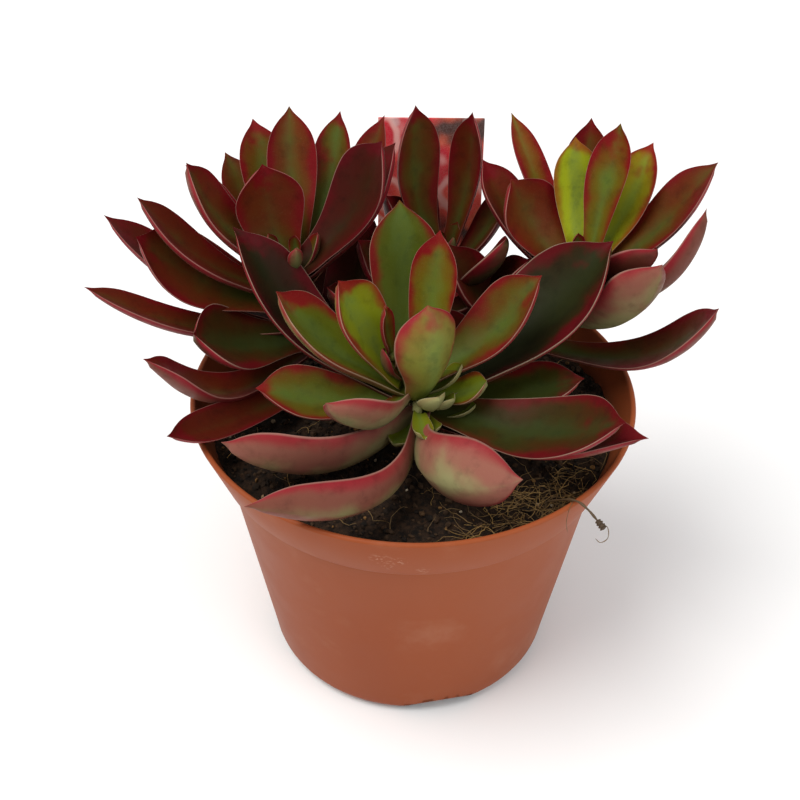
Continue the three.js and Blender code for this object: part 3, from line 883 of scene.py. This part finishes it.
def drain_hole(turn):
    """An upright round cutter through an arch's roof, near its inner end."""
    distance = BASE_RADIUS - ARCH_DEPTH + DRAIN_RADIUS + DRAIN_FROM_ARCH_END
    turn = math.radians(turn)
    centre = np.array([distance * math.cos(turn), distance * math.sin(turn), 0])
    path = [centre + [0, 0, -1 * MM], centre + [0, 0, ARCH_HEIGHT + WALL + 3 * MM]]
    points, faces = tube(path, [DRAIN_RADIUS, DRAIN_RADIUS], 32)
    return points, outward(points, faces)


def combine(piece, others, operation):
    """Joins, cuts or keeps the common part of a mesh with others."""
    for number, (points, faces) in enumerate(others):
        other = mesh_object(f"tool_{number}", points, faces, piece.data.materials[0])
        change = piece.modifiers.new("combine", "BOOLEAN")
        change.object = other
        change.operation = operation
        change.solver = "EXACT"
        apply_modifiers(piece)
        bpy.data.objects.remove(other)


def make_pot(material):
    """The moulded cup with a rounded lip, four hooded arches in its lower edge, and drain holes."""
    lip = WALL / 2
    rim_top = POT_HEIGHT - lip
    outside = cup_profile(0, 0, rim_top)
    inside = cup_profile(WALL, FLOOR, rim_top)
    lip_round = arc(RIM_RADIUS - lip, rim_top, lip, 0, 180, 10)
    turns = [ARCH_TURN + 360 * i / ARCH_COUNT for i in range(ARCH_COUNT)]
    pot = mesh_object("pot_moulded", *turned(outside[:-1] + lip_round + inside[::-1][1:]), material)
    block = turned(outside + [(0.0, rim_top)])
    hoods = []
    for turn in turns:
        hood = mesh_object("hood", *arch_tunnel(turn, WALL), material)
        combine(hood, [block], "INTERSECT")
        hoods.append(mesh_data(hood))
    combine(pot, hoods, "UNION")
    combine(pot, [arch_tunnel(turn, 0) for turn in turns], "DIFFERENCE")
    combine(pot, [drain_hole(turn) for turn in turns], "DIFFERENCE")
    finish_pot(pot)
    keep(pot, "terracotta_plastic", "pot")


def mesh_data(piece):
    """A helper object's points and faces; the object goes."""
    points = np.array([v.co for v in piece.data.vertices])
    faces = [tuple(p.vertices) for p in piece.data.polygons]
    bpy.data.objects.remove(piece)
    return points, faces


def finish_pot(pot):
    """Smooth shading with crisp corners, and an attribute that is 1 on the inner side."""
    mesh = pot.data
    mesh.polygons.foreach_set("use_smooth", [True] * len(mesh.polygons))
    mesh.set_sharp_from_angle(angle=math.radians(32))
    points = np.array([v.co for v in mesh.vertices])
    radius = np.hypot(points[:, 0], points[:, 1])
    wall = np.where(points[:, 2] > COLLAR_BOTTOM, RIM_RADIUS - 1.2 * MM, wall_radius(points[:, 2]))
    slack = np.where(points[:, 2] > COLLAR_BOTTOM,
                     (POT_HEIGHT - points[:, 2]) * COLLAR_FLARE / COLLAR_HEIGHT, 0)
    inside = (radius < wall - slack - 0.6 * MM) & (points[:, 2] > FLOOR / 2)
    put_attribute(mesh, "inside", inside.astype(float))


# ---- Soil ----

def soil_height(x, y):
    """The bumpy soil surface's height at a place."""
    r = np.hypot(x, y)
    edge = soil_edge_radius()
    crown = SOIL_EDGE + SOIL_CROWN * (1 - np.clip(r / edge, 0, 1))
    bumps = (np.sin(x * 310 + 1.3) * np.cos(y * 270 + 0.4) + np.sin(x * 730 + y * 530)
             + 0.7 * np.cos(x * 1130 - y * 890 + 2.0))
    return crown + 0.35 * MM * bumps - 0.6 * MM


def soil_edge_radius():
    flare = (SOIL_EDGE - COLLAR_BOTTOM) / COLLAR_HEIGHT * COLLAR_FLARE
    return WALL_TOP_RADIUS + COLLAR_STEP + flare - WALL - SOIL_GAP - 0.2 * MM


def make_soil(material):
    """The whole soil body: a rough surface, sides along the pot's wall, and a flat bottom."""
    edge = soil_edge_radius()
    segments, rings = SOIL_SEGMENTS, SOIL_RINGS
    radii = edge * np.linspace(0, 1, rings + 1)[1:]
    points = [(0.0, 0.0, float(soil_height(0.0, 0.0)))]
    for r in radii:
        for i in range(segments):
            turn = 2 * math.pi * i / segments
            x, y = r * math.cos(turn), r * math.sin(turn)
            rough = rng.normal(0, 0.16 * MM)
            points.append((x, y, float(soil_height(x, y)) + rough))
    inner_wall = cup_profile(WALL + SOIL_GAP, FLOOR + SOIL_GAP, POT_HEIGHT)
    sides = [p for p in inner_wall if 1e-9 < p[0] < edge - 1 * MM and p[1] < SOIL_EDGE - 3 * MM][::-1]
    hood_top = ARCH_HEIGHT + WALL + 2 * SOIL_GAP
    for r, z in sides:
        for i in range(segments):
            turn = 2 * math.pi * i / segments
            points.append((r * math.cos(turn), r * math.sin(turn), max(z, hood_top)))
    points.append((0.0, 0.0, hood_top))
    faces = [(0, 1 + i, 1 + (i + 1) % segments) for i in range(segments)]
    total = rings + len(sides)
    for k in range(total - 1):
        for i in range(segments):
            j = (i + 1) % segments
            a, b = 1 + k * segments, 1 + (k + 1) * segments
            faces.append((a + i, b + i, b + j, a + j))
    last = 1 + (total - 1) * segments
    faces += [(last + i, len(points) - 1, last + (i + 1) % segments) for i in range(segments)]
    points = np.array(points)
    keep(mesh_object("soil_bed", points, outward(points, faces), material), "potting_soil", "soil")


def crumb_shape():
    """A small rounded lump as points and faces."""
    shape = bmesh.new()
    bmesh.ops.create_icosphere(shape, subdivisions=1, radius=1.0)
    points = np.array([v.co for v in shape.verts])
    faces = [tuple(v.index for v in f.verts) for f in shape.faces]
    shape.free()
    return points, faces


def place_on_soil(limit=0.97):
    edge = soil_edge_radius() * limit
    r = edge * math.sqrt(rng.uniform())
    turn = rng.uniform(0, 2 * math.pi)
    return r * math.cos(turn), r * math.sin(turn)


def make_crumbs(material):
    """Loose peat crumbs, with some bark chips and a few pale grains."""
    base, base_faces = crumb_shape()
    points, faces, tones = [], [], []
    for _ in range(CRUMB_COUNT):
        x, y = place_on_soil()
        kind = rng.uniform()
        size = rng.lognormal(-0.7, 0.45) * MM
        tone = rng.uniform(0, 0.45)
        if kind > 0.985:
            size, tone = rng.uniform(0.35, 0.75) * MM, rng.uniform(0.9, 1.0)
        elif kind > 0.88:
            tone = rng.uniform(0.5, 0.78)
        size = min(size, CRUMB_MOST)
        stretch = rng.uniform(0.5, 1.3, 3)
        lump = base * (1 + rng.normal(0, 0.12, (len(base), 1))) * stretch * size
        spin = np.array(Matrix.Rotation(rng.uniform(0, 6.3), 3, Vector(rng.normal(0, 1, 3))))
        lump = lump @ spin.T + [x, y, float(soil_height(x, y)) + size * 0.25]
        faces += [tuple(i + len(points) * len(base) for i in f) for f in base_faces]
        points.append(lump)
        tones += [tone] * len(base)
    points = np.concatenate(points)
    piece = mesh_object("soil_crumbs", points, faces, material, {"crumb_tone": tones}, smooth=False)
    keep(piece, "potting_soil")


def joined_tubes(name, tubes, tones, material, slot):
    """One piece made of many tubes, each with its own tone."""
    points, faces, values = [], [], []
    count = 0
    for (tube_points, tube_faces), tone in zip(tubes, tones):
        faces += [tuple(i + count for i in f) for f in tube_faces]
        points.append(tube_points)
        values += [tone] * len(tube_points)
        count += len(tube_points)
    keep(mesh_object(name, np.concatenate(points), faces, material, {"crumb_tone": values}), slot)


def wandering(start, heading, length, steps, wander, rise):
    """A path that turns a little at each step and keeps near the soil."""
    path = [np.array(start, float)]
    direction = np.array([math.cos(heading), math.sin(heading), rise])
    for _ in range(steps):
        direction = direction + rng.normal(0, wander, 3)
        direction[2] *= 0.7
        direction = direction / np.linalg.norm(direction)
        point = path[-1] + direction * length / steps
        r = math.hypot(point[0], point[1])
        limit = soil_edge_radius() - 0.6 * MM
        if r > limit:
            point[:2] *= limit / r
        point[2] = max(point[2], float(soil_height(point[0], point[1])) + 0.1 * MM)
        path.append(point)
    return path


def make_fibres(material):
    """Coco fibres over the soil, thickest by the rim at the front right."""
    tubes, tones = [], []
    for i in range(FIBRE_COUNT):
        if i < FIBRES_BY_RIM:
            turn = math.radians(rng.normal(-50, 13))
            r = soil_edge_radius() * rng.uniform(0.78, 0.98)
            x, y = r * math.cos(turn), r * math.sin(turn)
        else:
            x, y = place_on_soil()
        start = (x, y, float(soil_height(x, y)) + rng.uniform(0.1, 1.3) * MM)
        length = rng.uniform(4, 15) * MM
        path = wandering(start, rng.uniform(0, 2 * math.pi), length, 9, 0.35, rng.uniform(0, 0.5))
        thick = rng.uniform(0.06, 0.15) * MM
        radii = thick * np.linspace(1.0, 0.4, len(path))
        tubes.append(tube(path, radii, 5))
        tones.append(rng.uniform(0.15, 1.0))
    joined_tubes("coco_fibres", tubes, tones, material, "potting_soil")


def make_root(material):
    """A dark root strand that hangs over the rim at the front right, with a knob and a thin loop."""
    end = (44.5, -50.5, 86.8)
    strand = [(33, -38.5, 82), (37, -43, 87.2), (39.6, -45.6, 89.1), (42, -48, 88.6), end]
    loop = [end, (46.6, -50.8, 85.6), (46.9, -51.6, 82.8), (45.2, -52.2, 81.8), (43.8, -52, 83)]
    hair = [(39, -44, 88.3), (37.6, -47, 87.6), (37.2, -47.6, 84), (38, -46.6, 79.5)]
    knob = [(44, -50, 87.2), (44.9, -50.9, 86.5), (45.7, -51.6, 85.7)]
    tubes = []
    for line, radius in ((strand, 0.32), (loop, 0.1), (hair, 0.08), (knob, 0.85)):
        line = np.array(line) * MM
        stations = np.linspace(0, 1, len(line))
        at = np.linspace(0, 1, 24)
        taper = np.minimum(1, 6 * np.minimum(at + 0.05, 1.05 - at))
        thick = radius * MM * (1 + 0.2 * np.sin(at * 23)) * taper
        tubes.append(tube(smooth_through(stations, line, at), thick, 8))
    joined_tubes("hanging_root", tubes, [0.12, 0.3, 0.25, 0.05], material, "potting_soil")


# ---- Label ----

def make_label(material):
    """The label's card with rounded corners and edges."""
    piece = copy_of("label", "label_card", material)
    weld = piece.modifiers.new("weld", "WELD")
    weld.merge_threshold = 0.01 * MM
    bevel = piece.modifiers.new("bevel", "BEVEL")
    bevel.width = 0.25 * MM
    bevel.segments = 3
    bevel.limit_method = "ANGLE"
    apply_modifiers(piece)
    mesh = piece.data
    mesh.polygons.foreach_set("use_smooth", [True] * len(mesh.polygons))
    mesh.set_sharp_from_angle(angle=math.radians(40))
    points = np.array([v.co for v in mesh.vertices])
    low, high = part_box("label")
    lean = (high.y - low.y) / (high.z - low.z)
    depth = points[:, 1] - low.y - (points[:, 2] - low.z) * lean
    put_attribute(mesh, "label_front", (depth < 0).astype(float))
    keep(piece, "printed_label", "label")


# ---- Camera, light and floor ----

def make_camera():
    camera = bpy.data.objects.new("camera", bpy.data.cameras.new("camera"))
    bpy.context.scene.collection.objects.link(camera)
    tilt = math.radians(CAMERA_ELEVATION)
    back = Vector((0, -math.cos(tilt), math.sin(tilt)))
    turn = (-back).to_track_quat("-Z", "Y").to_matrix().to_4x4()
    roll = Matrix.Rotation(math.radians(CAMERA_ROLL), 4, "Z")
    camera.matrix_world = Matrix.Translation(CAMERA_TARGET + back * CAMERA_DISTANCE) @ turn @ roll
    camera.data.lens = CAMERA_LENS
    camera.data.sensor_width = 36
    camera.data.clip_start = 0.01
    bpy.context.scene.camera = camera


def make_floor(material):
    points = [(x * FLOOR_REACH, y * FLOOR_REACH, 0) for x, y in ((-1, -1), (1, -1), (1, 1), (-1, 1))]
    floor = mesh_object("floor", points, [(0, 1, 2, 3)], material, smooth=False)


def make_light(name, place, size, power, tint):
    """A round lamp that faces the pot."""
    light = bpy.data.lights.new(name, "AREA")
    light.shape = "DISK"
    light.size = size
    light.energy = power
    light.color = tint
    lamp = bpy.data.objects.new(name, light)
    lamp.location = place
    aim = Vector((0, 0, 0.08)) - Vector(place)
    lamp.rotation_mode = "QUATERNION"
    lamp.rotation_quaternion = aim.to_track_quat("-Z", "Y")
    bpy.context.scene.collection.objects.link(lamp)


def make_studio():
    world = bpy.data.worlds.new("studio")
    world.use_nodes = True
    background = world.node_tree.nodes["Background"]
    background.inputs["Color"].default_value = (1.0, 1.0, 1.0, 1.0)
    background.inputs["Strength"].default_value = WORLD_STRENGTH
    bpy.context.scene.world = world
    bpy.context.scene.view_settings.view_transform = "Standard"
    for name, settings in LAMPS.items():
        make_light(name, *settings)


# ---- The whole scene ----

SLOT_OF = {row["node"]: row["material_slot"] for row in frame["record"]["subparts"]}

make_camera()
make_studio()
make_floor(floor_material())
make_pot(pot_material())
make_soil(soil_material())
make_crumbs(crumb_material())
FIBRE = fibre_material()
make_fibres(FIBRE)
make_label(label_material())
make_stems(stem_material())
LEAF_SKIN = leaf_material()
make_leaves(LEAF_SKIN)
make_young_leaves(LEAF_SKIN)
make_side_leaves(LEAF_SKIN)
make_inner_leaves(LEAF_SKIN)
make_root(FIBRE)
